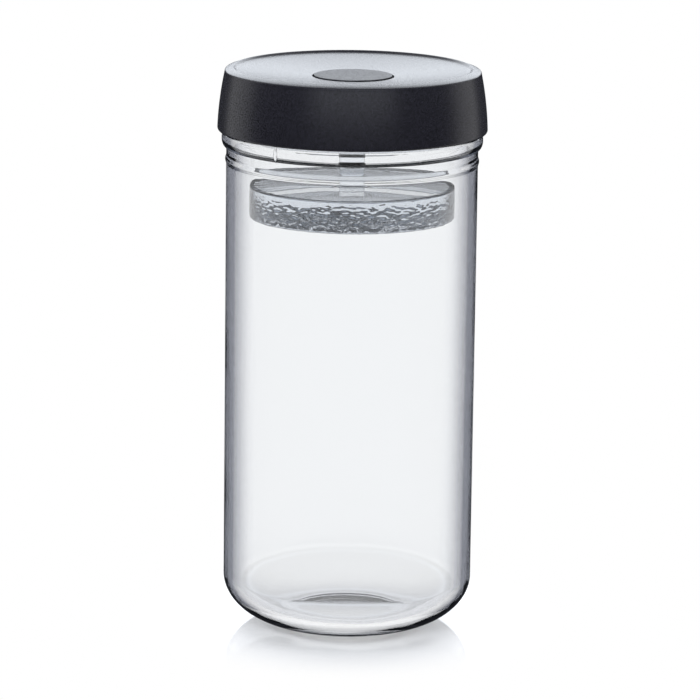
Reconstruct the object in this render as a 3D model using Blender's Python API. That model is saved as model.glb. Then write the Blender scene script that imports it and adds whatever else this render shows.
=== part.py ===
"""Fermentation jar: a pressed glass jar with a screw lid, a vent valve in the lid and a glass weight.

Metres, +Z up. The origin is the centre of the base's underside, and every piece turns about the Z axis
or slides along it. Outlines are lists of (radius, height above the base) and are spun about that axis.
Round pieces that touch in the real jar keep FIT between their faces.
"""

import math

import bmesh
import bpy
from mathutils import Matrix, Vector

MM = 0.001

# Clearances
FIT = 0.3 * MM              # between faces that rest on each other
THREAD_PLAY = 0.5 * MM      # between a thread's crest and the wall that it faces

# Glass jar
BODY_RADIUS = 56.5 * MM
BODY_WALL = 3.9 * MM
FLOOR_THICKNESS = 4.5 * MM
FLOOR_CROWN = 1.1 * MM      # the floor is this much higher in the middle
BASE_HOLLOW = 1.8 * MM      # the underside rises this much inside the foot ring
FOOT_WIDTH = 4.5 * MM       # flat ring that the jar stands on
HEEL_REACH = 6.0 * MM       # from the end of the base's rounding in to the foot ring
CORNER_REACH = 31.0 * MM    # the base's rounding, measured inwards
CORNER_RISE = 21.5 * MM     # the base's rounding, measured upwards
CORNER_END = -66.0          # degrees below level at which the rounding meets the heel
BEAD_FOOT = 219.3 * MM      # height at which the bead under the lid starts
BEAD_HEIGHT = 7.1 * MM
BEAD_PROUD = 2.1 * MM
BEAD_FULLNESS = 2.8         # how square the bead's upper half is; 2 makes it elliptic
RIDGE_DROP = 5.8 * MM       # the soft ridge's middle lies this far below the bead
RIDGE_HEIGHT = 3.4 * MM
RIDGE_PROUD = 0.5 * MM
NECK_INSET = 3.5 * MM       # the threaded neck is this much narrower than the body
NECK_HEIGHT = 17.2 * MM     # from the top of the bead to the rim
NECK_WALL = 3.6 * MM
SHOULDER_FILLET = 1.5 * MM  # between the top of the bead and the neck
SHOULDER_RISE = 1.0 * MM    # inside, the shoulder starts this far above the top of the bead
SHOULDER_HEIGHT = 4.4 * MM  # inside, from the neck's wall down to the body's wall
RIM_ROUNDING = 1.5 * MM

# Thread: four starts, so that a quarter turn frees the lid
THREAD_STARTS = 4
THREAD_LEAD = 16.8 * MM
THREAD_START_HEIGHT = 4.1 * MM   # above the top of the bead
THREAD_SPAN = 100.0              # degrees that each glass ridge runs round the neck
THREAD_DEPTH = 1.5 * MM
THREAD_ROOT_WIDTH = 2.6 * MM
THREAD_CREST_WIDTH = 1.2 * MM
LUG_PLACE = 35.0                 # degrees from a ridge's start to the middle of its lug, lid closed
LUG_SPAN = 24.0
LUG_ROOT_WIDTH = 2.4 * MM
LUG_CREST_WIDTH = 1.2 * MM

# Gasket
GASKET_THICKNESS = 1.6 * MM
GASKET_WIDTH = 6.1 * MM

# Insert: the inner screw cap
INSERT_WALL = 1.4 * MM
PLATE_THICKNESS = 1.8 * MM
LOCATOR_WALL = 1.5 * MM     # short collar that keeps the gasket in place from inside
LOCATOR_DROP = 2.5 * MM
LOCATOR_PLAY = 1.1 * MM     # between that collar and the inside of the glass rim
WELL_PLAY = 1.0 * MM        # between the button's lip and the wall of the well
WELL_WALL = 1.6 * MM
WELL_DEPTH = 5.0 * MM
VENT_COUNT = 6
VENT_RADIUS = 1.5 * MM
CENTRE_HOLE_PLAY = 0.5 * MM

# Lid shell: the outer cover
SHELL_WALL = 1.6 * MM
SHELL_LEAN = 3.6 * MM       # the side is this much wider at the bottom than at the top
SHELL_BULGE = 0.7 * MM      # the side swells this much half way up
EDGE_LEAN = 1.3 * MM        # the insert's top corner is cut back by this to fit under the side
FOOT_ROUNDING = 1.2 * MM
CROWN_ROUNDING = 1.5 * MM
CROWN_WIDTH = 2.2 * MM      # flat top of the raised rim band
CROWN_SLOPE = 3.5 * MM      # width of the slope from the band down to the dished top
CROWN_RAISE = 3.9 * MM      # from the middle of the dished top up to the band
TOP_DISH = 2.9 * MM         # the dished top is this much lower in the middle
DISH_HALF_RISE = 1.2 * MM   # of that, the dish has this much half way out
TOP_THICKNESS = 1.8 * MM
TOP_AIR = 1.8 * MM          # between the dished top and the insert's plate
SNAP_LIP_HEIGHT = 1.0 * MM
SNAP_LIP_REACH = 0.4 * MM   # the lip under the insert's skirt reaches this far in under it

# Button, its spring and its collar
BUTTON_RADIUS = 17.5 * MM
BUTTON_PLAY = 0.8 * MM      # the gap all round the button
BUTTON_THICKNESS = 1.8 * MM
BUTTON_PROUD = 0.5 * MM     # above the middle of the dished top
BUTTON_SKIRT = 1.45 * MM
BUTTON_ROUNDING = 0.3 * MM
BUTTON_LIP_HEIGHT = 1.0 * MM
BUTTON_LIP_REACH = 1.55 * MM
COLLAR_WALL = 1.5 * MM
COLLAR_DROP = 1.5 * MM      # from the underside of the dished top
POST_RADIUS = 2.4 * MM
SPRING_RADIUS = 6.0 * MM
SPRING_WIRE = 0.8 * MM
SPRING_TURNS = 4

# Valve plug and flap
PLUG_WALL = 1.2 * MM
PLUG_SLEEVE = 5.7 * MM
PLUG_FLANGE_RADIUS = 8.0 * MM
PLUG_FLANGE_THICKNESS = 1.6 * MM
FLAP_INNER = 8.6 * MM
FLAP_WIDTH = 6.9 * MM
FLAP_THICKNESS = 0.8 * MM
FLAP_TRAVEL = 0.6 * MM
GUIDE_WALL = 0.7 * MM       # collar round which the flap rises
GUIDE_LIP_REACH = 0.8 * MM
GUIDE_LIP_HEIGHT = 0.8 * MM

# Stem holder
HOLDER_FLANGE_RADIUS = 14.7 * MM
HOLDER_FLANGE_WIDTH = 3.5 * MM
HOLDER_FLANGE_THICKNESS = 1.4 * MM
HOLDER_FLANGE_DROP = 0.8 * MM   # the flange lies this much lower than the valve plug
HOLDER_TUBE_WALL = 2.0 * MM
HOLDER_CONE_WALL = 1.6 * MM
HOLDER_CONE_HEIGHT = 12.4 * MM
HOLDER_WINDOWS = 3
HOLDER_WINDOW_WIDTH = 7.0 * MM
HOLDER_WINDOW_EDGE = 2.5 * MM    # of the cone that is left above and below each window
HUB_WALL = 1.6 * MM
HUB_LIP_REACH = 1.0 * MM
HUB_LIP_HEIGHT = 1.5 * MM

# Glass weight
WEIGHT_RADIUS = 46.2 * MM
WEIGHT_THICKNESS = 14.5 * MM
WEIGHT_ROUNDING = 2.3 * MM
STEM_RADIUS = 5.7 * MM
STEM_LENGTH = 15.8 * MM
STEM_FILLET = 4.0 * MM
SPIGOT_RADIUS = 3.6 * MM
SPIGOT_LENGTH = 8.5 * MM
HOLDER_HANG = 8.2 * MM      # the holder's lower end lies this far below the lid's edge

# Facets and cutting
BIG_STEPS = 56
MID_STEPS = 40
SMALL_STEPS = 24
THREAD_STEP = 5.0           # degrees for each facet of a ridge or lug
VENT_SIDES = 12
SPRING_POINTS = 10          # for each turn
SHARP_ANGLE = 35.0          # degrees between faces, above which an edge stays sharp
CUT_PAST = 1.0 * MM         # cutters run past the faces that they cut

# Heights and radii that follow from the sizes above
bead_top = BEAD_FOOT + BEAD_HEIGHT
lid_edge = bead_top + FIT
rim_top = bead_top + NECK_HEIGHT
neck_radius = BODY_RADIUS - NECK_INSET
mouth_radius = neck_radius - NECK_WALL
body_inner = BODY_RADIUS - BODY_WALL
thread_crest = neck_radius + THREAD_DEPTH

gasket_foot = rim_top + FIT
plate_foot = gasket_foot + GASKET_THICKNESS + FIT
plate_top = plate_foot + PLATE_THICKNESS
insert_inner = thread_crest + THREAD_PLAY
insert_outer = insert_inner + INSERT_WALL
insert_foot = lid_edge + SNAP_LIP_HEIGHT + FIT
well_floor = plate_top - WELL_DEPTH
well_foot = well_floor - PLATE_THICKNESS
well_radius = BUTTON_RADIUS + BUTTON_LIP_REACH + WELL_PLAY

shell_top_foot = plate_top + TOP_AIR
dish_middle = shell_top_foot + TOP_THICKNESS
lid_top = dish_middle + CROWN_RAISE
shell_top_radius = insert_outer + FIT + SHELL_WALL - EDGE_LEAN

button_top = dish_middle + BUTTON_PROUD
button_under = button_top - BUTTON_THICKNESS
collar_foot = shell_top_foot - COLLAR_DROP
collar_inner = BUTTON_RADIUS + BUTTON_PLAY
plug_inner = POST_RADIUS + FIT
plug_outer = plug_inner + PLUG_WALL
plug_flange_top = well_foot - FIT
plug_foot = plug_flange_top - PLUG_FLANGE_THICKNESS
post_foot = plug_foot + PLUG_WALL + FIT
centre_hole = plug_outer + CENTRE_HOLE_PLAY
guide_outer = FLAP_INNER - FIT
guide_lip_foot = well_floor + FIT + FLAP_THICKNESS + FLAP_TRAVEL + FIT

hub_inner = HOLDER_FLANGE_RADIUS + FIT
holder_foot = lid_edge - HOLDER_HANG
holder_bore = SPIGOT_RADIUS + FIT
holder_tube = holder_bore + HOLDER_TUBE_WALL
holder_flange_foot = plug_foot - HOLDER_FLANGE_DROP
hub_lip_top = holder_flange_foot - FIT
hub_foot = hub_lip_top - HUB_LIP_HEIGHT
stem_top = holder_foot - FIT
weight_top = stem_top - STEM_LENGTH
weight_foot = weight_top - WEIGHT_THICKNESS


def clear_scene():
    """Removes every object that the file starts with."""
    for old in list(bpy.data.objects):
        bpy.data.objects.remove(old, do_unlink=True)


def finish(name, color, roughness, metallic=0.0, transmission=0.0, ior=1.5):
    """Returns a Principled material; the colour is linear red, green and blue."""
    made = bpy.data.materials.new(name)
    made.use_nodes = True
    shader = made.node_tree.nodes["Principled BSDF"]
    shader.inputs["Base Color"].default_value = (*color, 1.0)
    shader.inputs["Roughness"].default_value = roughness
    shader.inputs["Metallic"].default_value = metallic
    shader.inputs["Transmission Weight"].default_value = transmission
    shader.inputs["IOR"].default_value = ior
    made.diffuse_color = (*color, 1.0)
    return made


def arc(centre, reach, rise, start, end, steps):
    """Points on an ellipse about centre, from the angle start to end in degrees, both ends included."""
    points = []
    for step in range(steps + 1):
        angle = math.radians(start + (end - start) * step / steps)
        points.append((centre[0] + reach * math.cos(angle), centre[1] + rise * math.sin(angle)))
    return points


def crowned(radius, edge_height, rise, steps):
    """Points of a flat dome from its edge in to the axis, rise higher in the middle."""
    points = []
    for step in range(steps + 1):
        share = 1.0 - step / steps
        points.append((radius * share, edge_height + rise * (1.0 - share * share)))
    return points


def new_object(name, mesh, material=None, location=(0.0, 0.0, 0.0)):
    """Links an object for the mesh at a location."""
    made = bpy.data.objects.new(name, mesh)
    made.location = location
    if material:
        mesh.materials.append(material)
    bpy.context.scene.collection.objects.link(made)
    return made


def mesh_from(bm, name):
    """Writes a bmesh with outward normals into a new mesh, shaded smooth except at its edges."""
    bmesh.ops.recalc_face_normals(bm, faces=bm.faces)
    mesh = bpy.data.meshes.new(name)
    bm.to_mesh(mesh)
    bm.free()
    mesh.shade_smooth()
    mesh.set_sharp_from_angle(angle=math.radians(SHARP_ANGLE))
    return mesh


def turned(name, outline, material, seat, steps=BIG_STEPS):
    """Spins an outline about the axis. An outline that doesn't start on the axis is a closed ring.

    The object's origin lies on the axis at the height seat.
    """
    bm = bmesh.new()
    points = [bm.verts.new((radius, 0.0, height - seat)) for radius, height in outline]
    edges = [bm.edges.new(pair) for pair in zip(points, points[1:])]
    if outline[0][0] > 0.0:
        edges.append(bm.edges.new((points[-1], points[0])))
    bmesh.ops.spin(bm, geom=points + edges, axis=(0, 0, 1), cent=(0, 0, 0), angle=math.tau, steps=steps)
    bmesh.ops.remove_doubles(bm, verts=bm.verts, dist=1e-6)
    return new_object(name, mesh_from(bm, name), material, (0.0, 0.0, seat))


def as_tool(tool):
    """Keeps a boolean operand out of the finished part."""
    tool.hide_render = True
    tool.display_type = "WIRE"


def boolean(target, tool, operation):
    """Joins the tool to the target or cuts it out, by a live modifier."""
    as_tool(tool)
    modifier = target.modifiers.new(tool.name, "BOOLEAN")
    modifier.operation = operation
    modifier.object = tool
    modifier.solver = "EXACT"


def helix_bars(name, root, crest, root_width, crest_width, first, span, height, seat):
    """Helical bars, one for each thread start, with a trapezoid section from the root to the crest.

    The first bar starts at the angle first, in degrees, with its middle at the given height, and
    rises counter-clockwise. The root lies inside the wall that carries the bars.
    """
    bm = bmesh.new()
    steps = max(4, round(span / THREAD_STEP))
    rise = THREAD_LEAD * span / 360.0
    corners = (
        (root, -root_width / 2), (crest, -crest_width / 2), (crest, crest_width / 2), (root, root_width / 2),
    )
    for start in range(THREAD_STARTS):
        turn = Matrix.Rotation(math.radians(first + 360.0 * start / THREAD_STARTS), 4, "Z")
        section = [
            bm.verts.new(turn @ Vector((radius, 0.0, height - seat + offset))) for radius, offset in corners
        ]
        bmesh.ops.spin(
            bm, geom=[bm.faces.new(section)], axis=(0, 0, 1), cent=(0, 0, 0), dvec=(0, 0, rise / steps),
            angle=math.radians(span), steps=steps,
        )
    return new_object(name, mesh_from(bm, name), location=(0.0, 0.0, seat))


def rods(name, count, radius, ring, low, high, seat):
    """Upright round rods evenly spaced on a ring, as a cutter."""
    bm = bmesh.new()
    for step in range(count):
        angle = math.tau * step / count
        middle = (low + high) / 2 - seat
        place = Matrix.Translation((ring * math.cos(angle), ring * math.sin(angle), middle))
        bmesh.ops.create_cone(
            bm, cap_ends=True, segments=VENT_SIDES, radius1=radius, radius2=radius, depth=high - low,
            matrix=place,
        )
    return new_object(name, mesh_from(bm, name), location=(0.0, 0.0, seat))


def slots(name, count, width, inner, outer, low, high, seat):
    """Blocks that stand out from the axis between two radii, evenly spaced, as a cutter for windows."""
    bm = bmesh.new()
    for step in range(count):
        turn = Matrix.Rotation(math.tau * (step + 0.5) / count, 4, "Z")
        place = Matrix.Translation(((inner + outer) / 2, 0.0, (low + high) / 2 - seat))
        size = Matrix.Diagonal((outer - inner, width, high - low, 1.0))
        bmesh.ops.create_cube(bm, size=1.0, matrix=turn @ place @ size)
    return new_object(name, mesh_from(bm, name), location=(0.0, 0.0, seat))


def shell_radius(height):
    """Outer radius of the lid's side: it leans in towards the top and swells a little between."""
    share = (height - lid_edge) / (lid_top - lid_edge)
    return shell_top_radius + SHELL_LEAN * (1.0 - share) + SHELL_BULGE * 4.0 * share * (1.0 - share)


def make_jar(glass):
    """The glass jar: foot ring, rounded base, body, soft ridge, bead, threaded neck and hollow inside."""
    corner_middle = BODY_RADIUS - CORNER_REACH
    foot_outer = corner_middle + CORNER_REACH * math.cos(math.radians(CORNER_END)) - HEEL_REACH
    ridge_middle = BEAD_FOOT - RIDGE_DROP
    bead_middle = BEAD_FOOT + BEAD_HEIGHT / 2
    rim_outer = neck_radius - RIM_ROUNDING
    rim_inner = mouth_radius + RIM_ROUNDING
    rim_side = rim_top - RIM_ROUNDING
    inner_reach = CORNER_REACH - BODY_WALL
    inner_rise = CORNER_RISE - BODY_WALL
    bead_half = BEAD_HEIGHT / 2
    shoulder_top = bead_top + SHOULDER_RISE

    outline = crowned(foot_outer - FOOT_WIDTH, 0.0, BASE_HOLLOW, 3)[::-1]
    outline.append((foot_outer, 0.0))
    outline += arc((corner_middle, CORNER_RISE), CORNER_REACH, CORNER_RISE, CORNER_END, 0, 6)
    outline += arc((BODY_RADIUS, ridge_middle), RIDGE_PROUD, RIDGE_HEIGHT / 2, -90, 90, 4)
    outline += arc((BODY_RADIUS, bead_middle), BEAD_PROUD, bead_half, -90, 0, 3)
    for share, rise in arc((0.0, 0.0), 1.0, 1.0, 0, 90, 3)[1:-1]:
        outline.append((
            BODY_RADIUS + BEAD_PROUD * share ** (2.0 / BEAD_FULLNESS),
            bead_middle + bead_half * rise ** (2.0 / BEAD_FULLNESS),
        ))
    outline.append((BODY_RADIUS, bead_top))
    outline += arc(
        (neck_radius + SHOULDER_FILLET, bead_top + SHOULDER_FILLET), SHOULDER_FILLET, SHOULDER_FILLET,
        -90, -180, 2,
    )
    outline += arc((rim_outer, rim_side), RIM_ROUNDING, RIM_ROUNDING, 0, 90, 2)
    outline += arc((rim_inner, rim_side), RIM_ROUNDING, RIM_ROUNDING, 90, 180, 2)
    for step in range(4):
        share = step / 3
        ease = share * share * (3.0 - 2.0 * share)
        outline.append((
            mouth_radius + (body_inner - mouth_radius) * ease,
            shoulder_top - SHOULDER_HEIGHT * share,
        ))
    outline += arc(
        (body_inner - inner_reach, FLOOR_THICKNESS + inner_rise), inner_reach, inner_rise, 0, -90, 5
    )
    outline += crowned(body_inner - inner_reach, FLOOR_THICKNESS, FLOOR_CROWN, 3)[1:]

    jar = turned("glass_jar", outline, glass, 0.0)
    ridges = helix_bars(
        "thread_ridges", neck_radius - THREAD_DEPTH / 2, thread_crest, THREAD_ROOT_WIDTH, THREAD_CREST_WIDTH,
        0.0, THREAD_SPAN, bead_top + THREAD_START_HEIGHT, 0.0,
    )
    boolean(jar, ridges, "UNION")
    return jar


def make_insert(plastic):
    """The inner screw cap with its lugs, gasket locator, valve well, vent holes and holder hub."""
    locator_outer = mouth_radius - LOCATOR_PLAY
    locator_inner = locator_outer - LOCATOR_WALL
    guide_inner = guide_outer - GUIDE_WALL
    guide_lip = guide_outer + GUIDE_LIP_REACH
    guide_top = guide_lip_foot + GUIDE_LIP_HEIGHT
    hub_outer = hub_inner + HUB_WALL
    hub_lip = hub_inner - HUB_LIP_REACH
    outline = [
        (centre_hole, well_foot), (hub_inner, well_foot), (hub_inner, hub_lip_top),
        (hub_lip, hub_lip_top), (hub_lip, hub_foot), (hub_outer, hub_foot), (hub_outer, well_foot),
        (well_radius + WELL_WALL, well_foot), (well_radius + WELL_WALL, plate_foot),
        (locator_inner, plate_foot), (locator_inner, plate_foot - LOCATOR_DROP),
        (locator_outer, plate_foot - LOCATOR_DROP), (locator_outer, plate_foot),
        (insert_inner, plate_foot), (insert_inner, insert_foot),
        (insert_outer, insert_foot), (insert_outer, plate_top - EDGE_LEAN),
        (insert_outer - EDGE_LEAN, plate_top), (well_radius, plate_top), (well_radius, well_floor),
        (guide_outer, well_floor), (guide_outer, guide_lip_foot), (guide_lip, guide_lip_foot),
        (guide_lip, guide_top), (guide_inner, guide_top), (guide_inner, well_floor),
        (centre_hole, well_floor),
    ]
    insert = turned("lid_insert", outline, plastic, lid_edge)

    half_pitch = THREAD_LEAD / THREAD_STARTS / 2
    first = LUG_PLACE - LUG_SPAN / 2
    lug_height = bead_top + THREAD_START_HEIGHT + THREAD_LEAD * first / 360.0 - half_pitch
    lugs = helix_bars(
        "thread_lugs", insert_inner + INSERT_WALL / 2, insert_inner - THREAD_DEPTH, LUG_ROOT_WIDTH,
        LUG_CREST_WIDTH, first, LUG_SPAN, lug_height, lid_edge,
    )
    boolean(insert, lugs, "UNION")
    vents = rods(
        "vent_holes", VENT_COUNT, VENT_RADIUS, FLAP_INNER + FLAP_WIDTH / 2,
        well_foot - CUT_PAST, well_floor + CUT_PAST, lid_edge,
    )
    boolean(insert, vents, "DIFFERENCE")
    return insert


def make_shell(plastic):
    """The outer cover: leaning side, raised rim band, dished top, button hole and snap lip."""
    side_foot = lid_edge + FOOT_ROUNDING
    side_top = lid_top - CROWN_ROUNDING
    crown_outer = shell_radius(side_top) - CROWN_ROUNDING
    crown_inner = crown_outer - CROWN_WIDTH
    dish_radius = crown_inner - CROWN_SLOPE
    dish_edge = dish_middle + TOP_DISH
    half_radius = (dish_radius + BUTTON_RADIUS) / 2
    collar_outer = collar_inner + COLLAR_WALL
    lip_inner = insert_outer - SNAP_LIP_REACH
    lip_top = lid_edge + SNAP_LIP_HEIGHT

    outline = arc(
        (shell_radius(side_foot) - FOOT_ROUNDING, side_foot), FOOT_ROUNDING, FOOT_ROUNDING, -90, 0, 3
    )
    for step in range(1, 5):
        height = side_foot + (side_top - side_foot) * step / 5
        outline.append((shell_radius(height), height))
    outline += arc((crown_outer, side_top), CROWN_ROUNDING, CROWN_ROUNDING, 0, 90, 3)
    slope_drop = lid_top - dish_edge
    for step in range(5):
        share = step / 4
        ease = share * share * (3.0 - 2.0 * share)
        outline.append((crown_inner - CROWN_SLOPE * share, lid_top - slope_drop * ease))
    outline += [
        (half_radius, dish_middle + DISH_HALF_RISE),
        (collar_inner + BUTTON_ROUNDING, dish_middle),
        (collar_inner, dish_middle - BUTTON_ROUNDING),
        (collar_inner, collar_foot), (collar_outer, collar_foot), (collar_outer, shell_top_foot),
        (half_radius, shell_top_foot + DISH_HALF_RISE), (dish_radius, shell_top_foot + TOP_DISH),
        (crown_inner, lid_top - TOP_THICKNESS),
        (crown_outer - SHELL_WALL / 2, lid_top - TOP_THICKNESS),
        (shell_radius(side_top) - SHELL_WALL, side_top - TOP_THICKNESS),
    ]
    wall_top = plate_top - EDGE_LEAN
    for step in range(4):
        height = wall_top + (lip_top + FIT - wall_top) * step / 3
        outline.append((shell_radius(height) - SHELL_WALL, height))
    outline += [(shell_radius(lip_top) - SHELL_WALL, lip_top), (lip_inner, lip_top), (lip_inner, lid_edge)]
    return turned("lid_shell", outline, plastic, lid_edge)


def make_gasket(silicone):
    """The flat sealing ring on the glass rim."""
    outer = insert_inner - FIT
    inner = outer - GASKET_WIDTH
    top = gasket_foot + GASKET_THICKNESS
    edge = GASKET_THICKNESS / 4
    outline = [
        (inner + edge, gasket_foot), (outer - edge, gasket_foot), (outer, gasket_foot + edge),
        (outer, top - edge), (outer - edge, top), (inner + edge, top),
        (inner, top - edge), (inner, gasket_foot + edge),
    ]
    return turned("lid_gasket", outline, silicone, gasket_foot)


def make_button(plastic):
    """The vent button: raised disc, guide skirt with a catch lip, and the post that carries the plug."""
    skirt_inner = BUTTON_RADIUS - BUTTON_SKIRT
    lip_outer = BUTTON_RADIUS + BUTTON_LIP_REACH
    lip_top = collar_foot - FIT
    lip_foot = lip_top - BUTTON_LIP_HEIGHT
    post_edge = POST_RADIUS / 4
    outline = [(0.0, post_foot), (POST_RADIUS - post_edge, post_foot), (POST_RADIUS, post_foot + post_edge)]
    outline += [
        (POST_RADIUS, button_under), (skirt_inner, button_under), (skirt_inner, lip_foot),
        (lip_outer, lip_foot), (lip_outer, lip_top), (BUTTON_RADIUS, lip_top),
    ]
    outline += arc(
        (BUTTON_RADIUS - BUTTON_ROUNDING, button_top - BUTTON_ROUNDING),
        BUTTON_ROUNDING, BUTTON_ROUNDING, 0, 90, 2,
    )
    outline.append((0.0, button_top))
    return turned("valve_button", outline, plastic, button_top, MID_STEPS)


def make_plug(silicone):
    """The silicone plug: a sleeve over the button's post, with a flange that seals from below."""
    edge = PLUG_FLANGE_THICKNESS / 4
    sleeve_top = plug_flange_top + PLUG_SLEEVE
    outline = [
        (0.0, plug_foot), (PLUG_FLANGE_RADIUS - edge, plug_foot), (PLUG_FLANGE_RADIUS, plug_foot + edge),
        (PLUG_FLANGE_RADIUS, plug_flange_top - edge), (PLUG_FLANGE_RADIUS - edge, plug_flange_top),
        (plug_outer, plug_flange_top), (plug_outer, sleeve_top), (plug_inner, sleeve_top),
        (plug_inner, post_foot - FIT), (0.0, post_foot - FIT),
    ]
    return turned("valve_plug", outline, silicone, plug_foot, SMALL_STEPS)


def make_flap(silicone):
    """The ring flap that lies over the vent holes, under the guide collar's lip."""
    foot = well_floor + FIT
    outer = FLAP_INNER + FLAP_WIDTH
    top = foot + FLAP_THICKNESS
    edge = FLAP_THICKNESS / 2
    outline = [
        (FLAP_INNER, foot), (outer - edge, foot), (outer, foot + edge / 2), (outer, top - edge / 2),
        (outer - edge, top), (FLAP_INNER, top),
    ]
    return turned("valve_flap", outline, silicone, foot, MID_STEPS)


def make_spring(steel):
    """The coil spring between the well's floor and the button, as one wire on a helix."""
    low = well_floor + FIT + SPRING_WIRE / 2
    high = button_under - FIT - SPRING_WIRE / 2
    count = SPRING_TURNS * SPRING_POINTS
    curve = bpy.data.curves.new("button_spring", "CURVE")
    curve.dimensions = "3D"
    curve.bevel_depth = SPRING_WIRE / 2
    curve.bevel_resolution = 1
    curve.use_fill_caps = True
    line = curve.splines.new("POLY")
    line.points.add(count)
    for step in range(count + 1):
        angle = math.tau * step / SPRING_POINTS
        rise = (high - low) * step / count
        line.points[step].co = (SPRING_RADIUS * math.cos(angle), SPRING_RADIUS * math.sin(angle), rise, 1.0)
    curve.materials.append(steel)
    spring = bpy.data.objects.new("button_spring", curve)
    spring.location = (0.0, 0.0, low)
    bpy.context.scene.collection.objects.link(spring)
    return spring


def make_holder(plastic):
    """The stem holder: a flange that swivels in the hub, a windowed cone and a socket tube."""
    flange_top = holder_flange_foot + HOLDER_FLANGE_THICKNESS
    flange_inner = HOLDER_FLANGE_RADIUS - HOLDER_FLANGE_WIDTH
    cone_top = holder_flange_foot
    cone_foot = cone_top - HOLDER_CONE_HEIGHT
    outline = [
        (flange_inner, flange_top), (flange_inner, cone_top), (holder_bore, cone_foot - FIT),
        (holder_bore, holder_foot), (holder_tube, holder_foot), (holder_tube, cone_foot),
        (flange_inner + HOLDER_CONE_WALL, cone_top), (HOLDER_FLANGE_RADIUS, cone_top),
        (HOLDER_FLANGE_RADIUS, flange_top),
    ]
    holder = turned("stem_holder", outline, plastic, holder_foot, SMALL_STEPS)
    windows = slots(
        "holder_windows", HOLDER_WINDOWS, HOLDER_WINDOW_WIDTH, holder_bore / 2, HOLDER_FLANGE_RADIUS,
        cone_foot + HOLDER_WINDOW_EDGE, cone_top - HOLDER_WINDOW_EDGE, holder_foot,
    )
    boolean(holder, windows, "DIFFERENCE")
    return holder


def make_weight(glass):
    """The glass weight: a thick disc with a filleted stem and the spigot that the holder takes."""
    spigot_top = stem_top + SPIGOT_LENGTH
    spigot_edge = SPIGOT_RADIUS / 6
    disc_inner = WEIGHT_RADIUS - WEIGHT_ROUNDING
    outline = [(0.0, weight_foot)]
    outline += arc((disc_inner, weight_foot + WEIGHT_ROUNDING), WEIGHT_ROUNDING, WEIGHT_ROUNDING, -90, 0, 3)
    outline += arc((disc_inner, weight_top - WEIGHT_ROUNDING), WEIGHT_ROUNDING, WEIGHT_ROUNDING, 0, 90, 3)
    outline += arc(
        (STEM_RADIUS + STEM_FILLET, weight_top + STEM_FILLET), STEM_FILLET, STEM_FILLET, 270, 180, 3
    )
    outline += [
        (STEM_RADIUS, stem_top), (SPIGOT_RADIUS, stem_top), (SPIGOT_RADIUS, spigot_top - spigot_edge),
        (SPIGOT_RADIUS - spigot_edge, spigot_top), (0.0, spigot_top),
    ]
    return turned("glass_weight", outline, glass, weight_foot, MID_STEPS)


def axis_mark(name, height):
    """An empty on the axis that carries the pieces of one moving group."""
    mark = bpy.data.objects.new(name, None)
    mark.location = (0.0, 0.0, height)
    bpy.context.scene.collection.objects.link(mark)
    return mark


def carry(mark, *pieces):
    """Parents pieces to the empty, and leaves them where they are."""
    for piece in pieces:
        piece.parent = mark
        piece.location.z -= mark.location.z


def main():
    """Builds the jar, the lid with its valve, the holder and the weight."""
    clear_scene()
    clear_glass = finish("clear_glass", (0.93, 0.96, 0.95), 0.02, transmission=1.0, ior=1.52)
    weight_glass = finish("pressed_glass", (0.90, 0.94, 0.95), 0.05, transmission=1.0, ior=1.52)
    anthracite = finish("anthracite_plastic", (0.028, 0.028, 0.034), 0.55)
    inner_plastic = finish("inner_plastic", (0.060, 0.060, 0.066), 0.45)
    button_plastic = finish("button_plastic", (0.050, 0.051, 0.058), 0.50)
    holder_plastic = finish("holder_plastic", (0.020, 0.019, 0.018), 0.40)
    clear_silicone = finish("clear_silicone", (0.62, 0.63, 0.62), 0.45, transmission=0.3, ior=1.41)
    dark_silicone = finish("dark_silicone", (0.045, 0.045, 0.050), 0.60)
    flap_silicone = finish("flap_silicone", (0.50, 0.51, 0.50), 0.50)
    steel = finish("spring_steel", (0.62, 0.61, 0.59), 0.25, metallic=1.0)

    make_jar(clear_glass)
    shell = make_shell(anthracite)
    insert = make_insert(inner_plastic)
    gasket = make_gasket(clear_silicone)
    spring = make_spring(steel)
    flap = make_flap(flap_silicone)
    button = make_button(button_plastic)
    plug = make_plug(dark_silicone)
    holder = make_holder(holder_plastic)
    weight = make_weight(weight_glass)

    carry(axis_mark("lid_axis", lid_edge), shell, insert, gasket, spring, flap, button, plug)
    carry(axis_mark("weight_axis", holder_foot), weight, holder)


main()
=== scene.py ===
"""A fermentation jar in a white studio: pressed glass, a screw lid with a vent valve, and a glass weight.

Sizes are in millimetres. A round piece is given by its half section, a list of (radius, height), which is
drawn with extrusions and then spun about the jar's axis. Z is up, and the jar's foot stands at height 0.
"""

import logging
import math
from collections.abc import Callable, Iterator, Sequence
from contextlib import contextmanager
from dataclasses import dataclass
from enum import Enum
from functools import partial
from itertools import pairwise

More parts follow.
